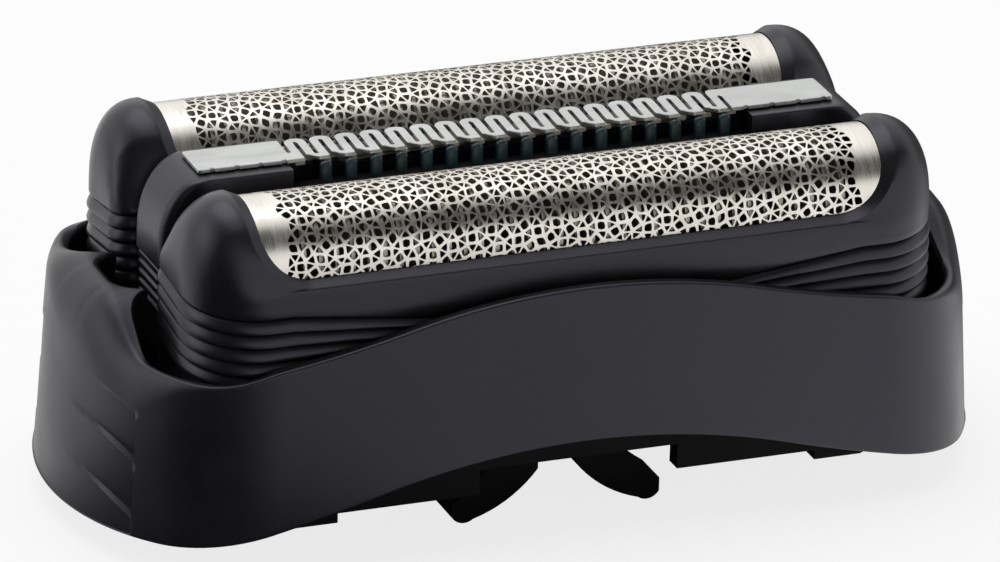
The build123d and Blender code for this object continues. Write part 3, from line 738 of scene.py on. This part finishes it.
# lower bar: outer loop with ribs low on it, lip, channel loop and hollow underside, closed like a ring and
# cut away in the middle below an arch, where the drive passes; then an end block at each end that keeps the
# lips beside the channel
def bodySurface(s):
    rows = []

    # a rounded loop at height z, moved in, and never below the arch
    def addLoop(z, inset, halfX, halfY, radius):
        loop = roundedLoop(halfX - inset, halfY - inset, radius)
        arch = s["bottom"] + s["archRise"] * (1.0 - easeStep(np.abs(loop[:, 0]), *s["archRun"]))
        rows.append(np.column_stack([loop, np.maximum(z, arch)]))

    corner = s["corner"]
    outline = (s["halfLength"], s["halfWidth"], corner)
    addLoop(s["bottom"], s["ribSet"], *outline)
    for rib in range(s["ribCount"]):
        base = s["ribTop"] - s["ribPitch"] * (s["ribCount"] - rib)
        for share, inset in zip(s["ribAt"], s["ribIn"]):
            addLoop(base + share * s["ribPitch"], s["ribSet"] + s["ribDepth"] * inset, *outline)
    addLoop(s["ribTop"], s["ribDepth"], *outline)
    addLoop(s["ribTop"] + s["ribCap"], 0.0, *outline)
    lipTurn = math.asin((s["lipTop"] - s["rampFoot"]) / s["rampRise"])
    for z in s["rampFoot"] + s["rampRise"] * np.sin(np.linspace(0, lipTurn, 8)):
        addLoop(z, 0.0, bodyLength(s, z), s["halfWidth"], corner)
    wall, ceiling = s["hollow"]
    for z in (s["lipTop"], ceiling):
        addLoop(z, 0.0, *s["channel"], s["channelCorner"])
    for z in (ceiling, s["bottom"]):
        addLoop(z, wall, *outline[:2], corner / 2)
    patches = [gridPatch(np.array(rows), True, True)]
    near = s["blockStart"]
    far, half = s["channel"]
    notch = np.array([[near, half], [far, half], [far, -half], [near, -half]])
    a = np.radians(np.linspace(-90, 0, 10))
    for sign in (-1, 1):
        rows = []
        for z in s["rampFoot"] + s["rampRise"] * np.sin(np.linspace(lipTurn, math.pi / 2, 14)):
            width = bodyWidth(s, z)
            length = bodyLength(s, z)
            arc = arcAt(length - corner, corner - width, corner, a)
            front = np.column_stack([np.linspace(near, length - corner, 12)[:-1], np.full(11, -width)])
            outer = np.concatenate([front, arc])
            loop = np.concatenate([outer, outer[::-1] * [1, -1], notch])
            rows.append(atHeight(loop * [sign, 1], z))
        patches.append(cappedPatch(np.array(rows)))
    return joinPatches(patches)


makePiece("trimmer_shell", bodySurface(trimmerBody), "trimmer_unit", ["trimmer_body"], "unit_plastic", 30.0)


# settings of the comb, in millimetres
combSteel = {
    "bottom": 21.26,
    "top": 21.5,
    "halfLength": 20.3,
    "halfWidth": 1.58,
    "teeth": 18,
    "pitch": 1.593,
    "first": -14.2,
    "ribbon": 0.53,
    "bevel": 0.035,
    "slant": 0.05,
    "rearTurn": 0.85,
    "plateCorner": 0.2,
    "notch": (0.3, 0.12),
}


# a closed loop moved inwards by the same amount all round
def insetLoop(loop, inset):
    ahead = np.roll(loop, -1, 0) - loop
    ahead = ahead / np.linalg.norm(ahead, axis=1)[:, None]
    both = ahead + np.roll(ahead, 1, 0)
    inward = np.column_stack([-both[:, 1], both[:, 0]])
    inward = inward / np.linalg.norm(inward, axis=1)[:, None]
    lean = inward[:, 1] * ahead[:, 0] - inward[:, 0] * ahead[:, 1]
    return loop + inward * (inset / np.maximum(lean, 0.4))[:, None]


# serpentine ribbon: legs along y joined by turns; a rear turn's outer edge is a superellipse, a front one's
# runs slantwise to a tooth on its right leg, inner edges are half circles; a plate closes each end
def combSurface(s):
    outer = s["pitch"] / 4 + s["ribbon"] / 2
    inner = s["pitch"] / 4 - s["ribbon"] / 2
    base = s["halfWidth"] - outer
    number = np.arange(1, 2 * s["teeth"] - 1)[:, None]
    at = s["first"] + s["pitch"] / 2 * number
    a = np.linspace(0.0, math.pi, 17)
    wave = np.sign(np.cos(a)) * np.abs(np.cos(a)) ** s["rearTurn"]
    lift = np.abs(np.sin(a)) ** s["rearTurn"]
    stops = (0.0, 0.1, 0.55, 0.6, 0.82, 0.86, 1.0)
    toothX = np.interp(a / math.pi, stops, (-1.0, -0.98, -0.02, 0.06, 0.94, 1.0, 1.0))
    toothY = np.interp(a / math.pi, stops, (0.0, 0.08, 0.96, 1.0, 1.0, 0.94, 0.0))
    front = number % 2 == 0
    outX = at + outer * np.where(front, toothX, -wave)
    outY = np.where(front, -base - outer * toothY, base + outer * lift)
    inX = at - inner * np.cos(a)
    inY = np.where(front, -base - inner * np.sin(a), base + inner * np.sin(a))
    edgeOne = np.stack([np.where(front, inX, outX), np.where(front, inY, outY)], -1).reshape(-1, 2)
    edgeTwo = np.stack([np.where(front, outX, inX), np.where(front, outY, inY)], -1).reshape(-1, 2)
    across = edgeTwo - edgeOne
    across = across / np.linalg.norm(across, axis=1)[:, None] * s["bevel"]
    low, high, b = s["bottom"], s["top"], s["bevel"]
    below = [(edgeOne + across, low), (edgeTwo - across, low), (edgeTwo, low + b), (edgeTwo, high - b)]
    above = [(edgeTwo - across, high), (edgeOne + across, high), (edgeOne, high - b), (edgeOne, low + b)]
    ribbon = np.stack([atHeight(line, z) for line, z in below + above], 1)
    patches = [cappedPatch(ribbon)]
    left = s["first"]
    right = s["first"] + s["pitch"] / 2 * (2 * s["teeth"] - 1)
    wide, deep = s["notch"]
    r = s["plateCorner"]
    edge = s["halfWidth"]
    end = s["halfLength"]
    turn = np.radians(np.linspace(0, 90, 6))
    round1 = np.column_stack([r * np.sin(turn), -r * np.cos(turn)])
    slit = np.column_stack([inner * np.cos(2 * turn), -inner * np.sin(2 * turn)])

    # front edge with small notches, from one place to another
    def notched(start, stop):
        places = np.linspace(start + 0.9, stop - 0.6, 4)[:, None]
        offsets = np.array([-wide / 2, -wide / 2 + 0.03, wide / 2 - 0.03, wide / 2])
        x = (places + offsets).ravel()
        return np.column_stack([x, np.tile([-edge, -edge + deep, -edge + deep, -edge], 4)])

    leftLoop = np.concatenate([
        round1[::-1] * [-1, 1] + [-end + r, -edge + r],
        notched(-end, left),
        np.array([[left + outer, -edge], [left + outer, base + 0.03], [left + inner, base + 0.03]]),
        slit + [left, -0.35],
        np.array([[left - inner, edge - 0.12], [left - inner - 0.12, edge]]),
        -round1 + [-end + r, edge - r],
    ])
    leg = right - outer
    rightLoop = np.concatenate([
        np.array([[right + inner, -edge]]),
        notched(right + inner, end),
        round1 + [end - r, -edge + r],
        (round1[::-1] * [1, -1] + [end - r, edge - r]),
        np.array([[leg + 0.35, edge], [leg + 0.08, edge - 0.1], [leg, edge - 0.4]]),
        np.array([[leg, -base - 0.03], [right - inner, -base - 0.03]]),
        (slit[::-1] * [1, -1] + [right, 0.45]),
    ])
    for loop in (leftLoop, rightLoop):
        rows = [(insetLoop(loop, b), low), (loop, low + b), (loop, high - b), (insetLoop(loop, b), high)]
        patches.append(cappedPatch(np.array([atHeight(line, z) for line, z in rows])))
    points, faces = joinPatches(patches)
    points[:, 0] += s["slant"] * points[:, 1] * easeStep(17.0 - np.abs(points[:, 0]), 0.0, 1.5)
    return points, faces


makePiece("comb_ribbon", combSurface(combSteel), "trimmer_unit", ["trimmer_comb"], "comb_steel", 30.0)


# settings of the prongs beside the comb, in millimetres
prongRow = {
    "half": (0.38, 0.27),
    "offset": (1.7, 1.85),
    "shift": (0.26, 0.08),
    "bottom": 18.65,
    "top": (21.25, 21.3),
    "round": 0.27,
    "rail": (1.45, 2.0, 18.62, 19.45),
    "railEnd": 14.3,
    "railEdge": 0.1,
}


# each prong is a rounded post: a superellipse ring carried up and drawn in over its top; a rail ties them
def prongSurface(s, comb):
    a = np.linspace(0, 2 * math.pi, 20, endpoint=False)
    ring = np.stack([np.cos(a), np.sin(a)], -1)
    ring = np.sign(ring) * np.abs(ring) ** 0.75
    bend = np.radians([0, 25, 50, 72, 85])
    draw = np.concatenate([[1.0, 1.0], np.cos(bend)])[:, None, None]
    places = comb["first"] + comb["pitch"] * np.arange(1, comb["teeth"])
    patches = []
    for side, offset, shift, top in zip((-1, 1), s["offset"], s["shift"], s["top"]):
        foot = [s["bottom"], (s["bottom"] + top) / 2]
        height = np.concatenate([foot, top - s["round"] * (1 - np.sin(bend))])
        for x in places + shift:
            flat = ring[None] * np.array(s["half"]) * draw + np.array([x, side * offset])
            tall = np.broadcast_to(height[:, None, None], flat.shape[:2] + (1,))
            patches.append(cappedPatch(np.concatenate([flat, tall], 2)))
        near, far, low, high = s["rail"]
        c = s["railEdge"]
        outer = [[far, low], [far, high - c], [far - c, high]]
        section = np.array([[near, low]] + outer + [[near + c, high], [near, high - c]])
        along = np.repeat(np.linspace(-s["railEnd"], s["railEnd"], 31)[:, None], len(section), 1)
        shape = np.broadcast_to(section * [side, 1], along.shape + (2,))
        patches.append(cappedPatch(np.concatenate([along[..., None], shape], 2)))
    return joinPatches(patches)


prongs = prongSurface(prongRow, combSteel)
makePiece("prong_rows", prongs, "trimmer_unit", ["guide_combs"], "guide_plastic", 40.0)


# a shader node with its inputs, each a value or the output of another node
def addNode(tree, kind, inputs, operation=None):
    node = tree.nodes.new("ShaderNode" + kind)
    if operation:
        node.operation = operation
    for key, value in inputs.items():
        if isinstance(value, bpy.types.NodeSocket):
            tree.links.new(value, node.inputs[key])
        else:
            node.inputs[key].default_value = value
    return node


# a change from start to stop while a value goes from low to high
def rangeOf(tree, value, low, high, start=0.0, stop=1.0, kind="SMOOTHSTEP"):
    limits = {"Value": value, "From Min": low, "From Max": high, "To Min": start, "To Max": stop}
    node = addNode(tree, "MapRange", limits)
    node.interpolation_type = kind
    return node.outputs["Result"]


# 1 away from an aim, a given tone inside the inner angle round it, smooth to the outer angle, in degrees
def coneTone(tree, direction, aim, inner, outer, tone):
    dot = addNode(tree, "VectorMath", {0: direction, 1: aim}, "DOT_PRODUCT").outputs["Value"]
    return rangeOf(tree, dot, math.cos(math.radians(outer)), math.cos(math.radians(inner)), 1.0, tone)


# node group: soft clouds of tone and a fine grain, on the position that it is given
def grainGroup():
    group = bpy.data.node_groups.new("mouldGrain", "ShaderNodeTree")
    group.interface.new_socket("Vector", in_out="INPUT", socket_type="NodeSocketVector")
    for way, names in (("INPUT", ("Cloud Scale", "Grain Scale")), ("OUTPUT", ("Tone", "Height"))):
        for name in names:
            group.interface.new_socket(name, in_out=way, socket_type="NodeSocketFloat")
    given = group.nodes.new("NodeGroupInput").outputs
    noises = []
    for scale, detail in (("Cloud Scale", 3.0), ("Grain Scale", 2.0)):
        inputs = {"Vector": given["Vector"], "Scale": given[scale], "Detail": detail}
        noises.append(addNode(group, "TexNoise", inputs).outputs["Fac"])
    cloud, grain = noises
    part = addNode(group, "Math", {0: cloud, 1: 0.65}, "MULTIPLY").outputs[0]
    tone = addNode(group, "Math", {0: grain, 1: 0.35, 2: part}, "MULTIPLY_ADD").outputs[0]
    end = group.nodes.new("NodeGroupOutput")
    group.links.new(tone, end.inputs["Tone"])
    group.links.new(grain, end.inputs["Height"])
    return group


mouldGrain = grainGroup()
even = (1.0, 1.0, 1.0)


# a node material with its tree and its shader
def addMaterial(name):
    made = bpy.data.materials.new(name)
    made.use_nodes = True
    return made, made.node_tree, made.node_tree.nodes["Principled BSDF"]


# a material whose tone, roughness and relief all come from the grain group, stretched where it has a lay
def finish(name, dark, light, roughness, relief, scales, stretch=even, metallic=0.0, gloss=0.5, tint=even):
    made, tree, shader = addMaterial(name)
    shader.inputs["Metallic"].default_value = metallic
    shader.inputs["Specular IOR Level"].default_value = gloss
    shader.inputs["Specular Tint"].default_value = (*tint, 1.0)
    place = addNode(tree, "TexCoord", {}).outputs["Object"]
    lay = addNode(tree, "Mapping", {"Vector": place, "Scale": stretch}).outputs["Vector"]
    grain = tree.nodes.new("ShaderNodeGroup")
    grain.node_tree = mouldGrain
    grain.inputs["Cloud Scale"].default_value = scales[0]
    grain.inputs["Grain Scale"].default_value = scales[1]
    tree.links.new(lay, grain.inputs["Vector"])
    tone = grain.outputs["Tone"]
    ramp = addNode(tree, "ValToRGB", {"Fac": tone})
    for element, position, colour in zip(ramp.color_ramp.elements, (0.36, 0.66), (dark, light)):
        element.position = position
        element.color = (*colour, 1.0)
    rough = rangeOf(tree, tone, 0.35, 0.65, *roughness, "LINEAR")
    height = grain.outputs["Height"]
    bump = addNode(tree, "Bump", {"Strength": relief[0], "Distance": relief[1], "Height": height})
    tree.links.new(ramp.outputs["Color"], shader.inputs["Base Color"])
    tree.links.new(rough, shader.inputs["Roughness"])
    tree.links.new(bump.outputs["Normal"], shader.inputs["Normal"])
    return made


# finishes by slot: dark and light tone, roughness, relief, grain scales per metre, lay, metal
coolTint = (0.87, 0.84, 1.0)
slotFinish = {
    "frame_plastic": finish("satinBlack", (0.005, 0.0047, 0.006), (0.009, 0.0085, 0.0105), (0.32, 0.42),
        (0.2, 0.00002), (180.0, 9000.0), tint=coolTint),
    "unit_plastic": finish("unitBlack", (0.005, 0.0048, 0.006), (0.009, 0.0087, 0.0105), (0.27, 0.38),
        (0.2, 0.00002), (220.0, 9000.0), tint=coolTint),
    # inner parts: their own black plastic, made darker and far less glossy than the outer plastic as
    # painted shade, so the inside and the view through the holes stay dark
    "tray_plastic": finish("innerBlackPaintedShade", (0.003, 0.0028, 0.0034), (0.006, 0.0056, 0.0066), (0.5, 0.62),
        (0.3, 0.00003), (200.0, 7000.0), gloss=0.06),
    "guide_plastic": finish("tealGloss", (0.004, 0.016, 0.02), (0.007, 0.034, 0.042), (0.22, 0.34),
        (0.05, 0.00001), (300.0, 9000.0)),
    "foil_steel": finish("foilSteel", (0.66, 0.625, 0.56), (0.83, 0.8, 0.745), (0.2, 0.34),
        (0.3, 0.00001), (40.0, 700.0), (14.0, 1.0, 1.0), 1.0),
    "comb_steel": finish("combBright", (0.47, 0.48, 0.47), (0.62, 0.63, 0.62), (0.26, 0.4),
        (0.25, 0.00001), (300.0, 6000.0), (1.0, 3.0, 1.0), 1.0),
    "blade_steel": finish("bladeSteel", (0.36, 0.33, 0.29), (0.5, 0.46, 0.41), (0.4, 0.55),
        (0.2, 0.00001), (400.0, 5000.0), (1.0, 1.0, 4.0), 1.0),
    "spring_steel": finish("wireSteel", (0.42, 0.42, 0.42), (0.6, 0.6, 0.6), (0.25, 0.4),
        (0.2, 0.00001), (400.0, 6000.0), even, 1.0),
}
# the carriers take the same inside black with its painted shade
slotFinish["carrier_plastic"] = slotFinish["tray_plastic"]
cadPieces = [(frame["nodes"][row["node"]], row["material_slot"]) for row in frame["record"]["subparts"]]
for piece, slot in pieces + cadPieces:
    piece.data.materials.clear()
    piece.data.materials.append(slotFinish[slot])
print("finishes made")


# settings of the floor, light and camera; the camera's angle and place were solved from the photograph
studio = {
    "floorSize": 6.0,
    "floorTone": 0.9,
    "floorGlow": 0.8,
    # painted reflection: the glow of the floor as glossy rays see it, away from the part
    "paintedReflectionTone": 1.3,
    # painted shadow: the reflected floor glow is dark in an ellipse under the part, fading out over the
    # given range
    "paintedShadowTone": 0.02,
    "paintedShadowHalf": (0.031, 0.016),
    "paintedShadowFade": (0.8, 1.15),
    # painted shade: wedges of azimuth where the reflected floor glow is darkened, by aim, inner and outer
    # angle and tone
    "paintedShadeWedges": (
        (-148.0, 18.0, 46.0, 0.0),
        (-110.0, 5.0, 70.0, 0.62),
        (45.0, 15.0, 50.0, 0.1),
        (140.0, 10.0, 60.0, 0.74),
    ),
    "frontTones": (
        (-1.0, 0.5), (-0.2, 0.8), (0.12, 1.0), (0.36, 0.9), (0.52, 0.06), (0.86, 0.08), (0.96, 1.0),
    ),
    "backTones": ((-1.0, 0.5), (-0.1, 0.5), (0.2, 0.9), (0.45, 1.0), (0.9, 1.0)),
    "backFrom": (-0.35, 0.3),
    "worldLevel": 1.15,
    "worldPatches": (
        ((-0.8, -0.58, 0.05), 18.0, 46.0, 0.02),
        ((0.78, 0.62, 0.0), 12.0, 36.0, 0.15),
        ((-0.95, 0.05, 0.32), 6.0, 30.0, 2.0),
    ),
    "lampPower": 0.45,
    "lampPlace": (-0.05, 0.12, 0.42),
    "lampAim": (0.0, 0.0, 0.012),
    "lampSize": 0.3,
    "aim": (-1.682, -3.247, 12.789),
    "distance": 516.3,
    "azimuth": -21.57,
    "elevation": 22.67,
    "roll": 1.6,
    "lens": 310.8,
}


# a pale floor that the camera sees partly as its own light, so that it stays white and keeps the shadow;
# reflections see a painted table glow, with a painted shadow below the part and painted shade in wedges of
# azimuth
def makeFloor(s):
    count = 9
    grid = np.linspace(-s["floorSize"] / 2, s["floorSize"] / 2, count)
    x, y = np.meshgrid(grid, grid)
    points = atHeight(np.column_stack([x.ravel(), y.ravel()]), 0.0)
    mesh = bpy.data.meshes.new("floor")
    mesh.from_pydata(points.tolist(), [], gridQuads(count, count).tolist())
    floor = addObject("floor", mesh)
    made, tree, shader = addMaterial("paleFloor")
    shader.inputs["Base Color"].default_value = (s["floorTone"], s["floorTone"], s["floorTone"], 1.0)
    shader.inputs["Roughness"].default_value = 0.9
    path = addNode(tree, "LightPath", {}).outputs
    share = addNode(tree, "Math", {0: path["Is Camera Ray"], 1: s["floorGlow"]}, "MULTIPLY").outputs[0]
    glow = addNode(tree, "Emission", {"Strength": 1.0}).outputs[0]
    mix = addNode(tree, "MixShader", {"Fac": share, 1: shader.outputs[0], 2: glow}).outputs[0]
    place = addNode(tree, "TexCoord", {}).outputs["Object"]
    flat = addNode(tree, "VectorMath", {0: place, 1: (1.0, 1.0, 0.0)}, "MULTIPLY").outputs["Vector"]
    along = addNode(tree, "VectorMath", {0: flat}, "NORMALIZE").outputs["Vector"]
    # painted shadow under the part: distance from the middle, scaled to the ellipse
    reach = (1.0 / s["paintedShadowHalf"][0], 1.0 / s["paintedShadowHalf"][1], 0.0)
    spread = addNode(tree, "VectorMath", {0: flat, 1: reach}, "MULTIPLY").outputs["Vector"]
    away = addNode(tree, "VectorMath", {0: spread}, "LENGTH").outputs["Value"]
    tone = rangeOf(tree, away, *s["paintedShadowFade"], s["paintedShadowTone"], s["paintedReflectionTone"])
    # painted shade in the reflected floor glow, wedge by wedge
    for turn, inner, outer, left in s["paintedShadeWedges"]:
        aim = (math.cos(math.radians(turn)), math.sin(math.radians(turn)), 0.0)
        shade = coneTone(tree, along, aim, inner, outer, left)
        tone = addNode(tree, "Math", {0: tone, 1: shade}, "MULTIPLY").outputs[0]
    # painted reflection: the floor glows for glossy rays with the tone worked out above
    paintedReflection = addNode(tree, "Emission", {"Strength": tone}).outputs[0]
    seen = addNode(tree, "MixShader", {"Fac": path["Is Glossy Ray"], 1: mix, 2: paintedReflection}).outputs[0]
    tree.links.new(seen, tree.nodes["Material Output"].inputs["Surface"])
    floor.data.materials.append(made)


# studio surround: tone by height for the front and for the back, and soft patches
def makeWorld(s):
    world = bpy.data.worlds.new("studio")
    scene.world = world
    world.use_nodes = True
    tree = world.node_tree
    place = addNode(tree, "TexCoord", {}).outputs["Generated"]
    parts = addNode(tree, "SeparateXYZ", {0: place}).outputs
    height = rangeOf(tree, parts["Z"], -1.0, 1.0, kind="LINEAR")

    # a ramp of tones over heights from -1 to 1
    def heightRamp(stops):
        ramp = addNode(tree, "ValToRGB", {"Fac": height})
        ramp.color_ramp.interpolation = "EASE"
        elements = ramp.color_ramp.elements
        while len(elements) < len(stops):
            elements.new(0.5)
        for element, (z, tone) in zip(elements, stops):
            element.position = z * 0.5 + 0.5
            element.color = (tone, tone, tone, 1.0)
        return ramp.outputs["Color"]

    front = heightRamp(s["frontTones"])
    back = heightRamp(s["backTones"])
    both = tree.nodes.new("ShaderNodeMix")
    both.data_type = "RGBA"
    tree.links.new(rangeOf(tree, parts["Y"], *s["backFrom"]), both.inputs["Factor"])
    tree.links.new(front, both.inputs["A"])
    tree.links.new(back, both.inputs["B"])
    tone = s["worldLevel"]
    for aim, inner, outer, left in s["worldPatches"]:
        patch = coneTone(tree, place, Vector(aim).normalized(), inner, outer, left)
        tone = addNode(tree, "Math", {0: tone, 1: patch}, "MULTIPLY").outputs[0]
    light = tree.nodes["Background"]
    tree.links.new(both.outputs["Result"], light.inputs["Color"])
    tree.links.new(tone, light.inputs["Strength"])
    seen = addNode(tree, "LightPath", {}).outputs["Is Camera Ray"]
    white = addNode(tree, "Background", {"Color": (1.0, 1.0, 1.0, 1.0)}).outputs[0]
    mix = addNode(tree, "MixShader", {"Fac": seen, 1: light.outputs[0], 2: white}).outputs[0]
    tree.links.new(mix, tree.nodes["World Output"].inputs["Surface"])


# one soft overhead lamp, turned to the part
def makeLamp(s):
    lamp = bpy.data.lights.new("overhead", "AREA")
    lamp.shape = "RECTANGLE"
    lamp.size = s["lampSize"]
    lamp.size_y = s["lampSize"]
    lamp.energy = s["lampPower"]
    made = addObject("overhead", lamp)
    made.location = s["lampPlace"]
    made.rotation_mode = "QUATERNION"
    made.rotation_quaternion = (Vector(s["lampAim"]) - Vector(s["lampPlace"])).to_track_quat("-Z", "Y")


# the photograph's camera: azimuth from the front, elevation and roll
def makeCamera(s):
    a = math.radians(s["azimuth"])
    e = math.radians(s["elevation"])
    r = math.radians(s["roll"])
    back = Vector((math.sin(a) * math.cos(e), -math.cos(a) * math.cos(e), math.sin(e)))
    right = Vector((math.cos(a), math.sin(a), 0.0))
    up = back.cross(right)
    across = right * math.cos(r) + up * math.sin(r)
    over = up * math.cos(r) - right * math.sin(r)
    camera = bpy.data.cameras.new("camera")
    camera.sensor_width = 36.0
    camera.lens = s["lens"]
    camera.clip_start = 0.01
    camera.clip_end = 20.0
    made = addObject("camera", camera)
    turn = Matrix((across, over, back)).transposed().to_4x4()
    turn.translation = (Vector(s["aim"]) + back * s["distance"]) * mm
    made.matrix_world = turn
    scene.camera = made


makeFloor(studio)
makeWorld(studio)
makeLamp(studio)
makeCamera(studio)
scene.view_settings.view_transform = "Standard"
print("studio made")
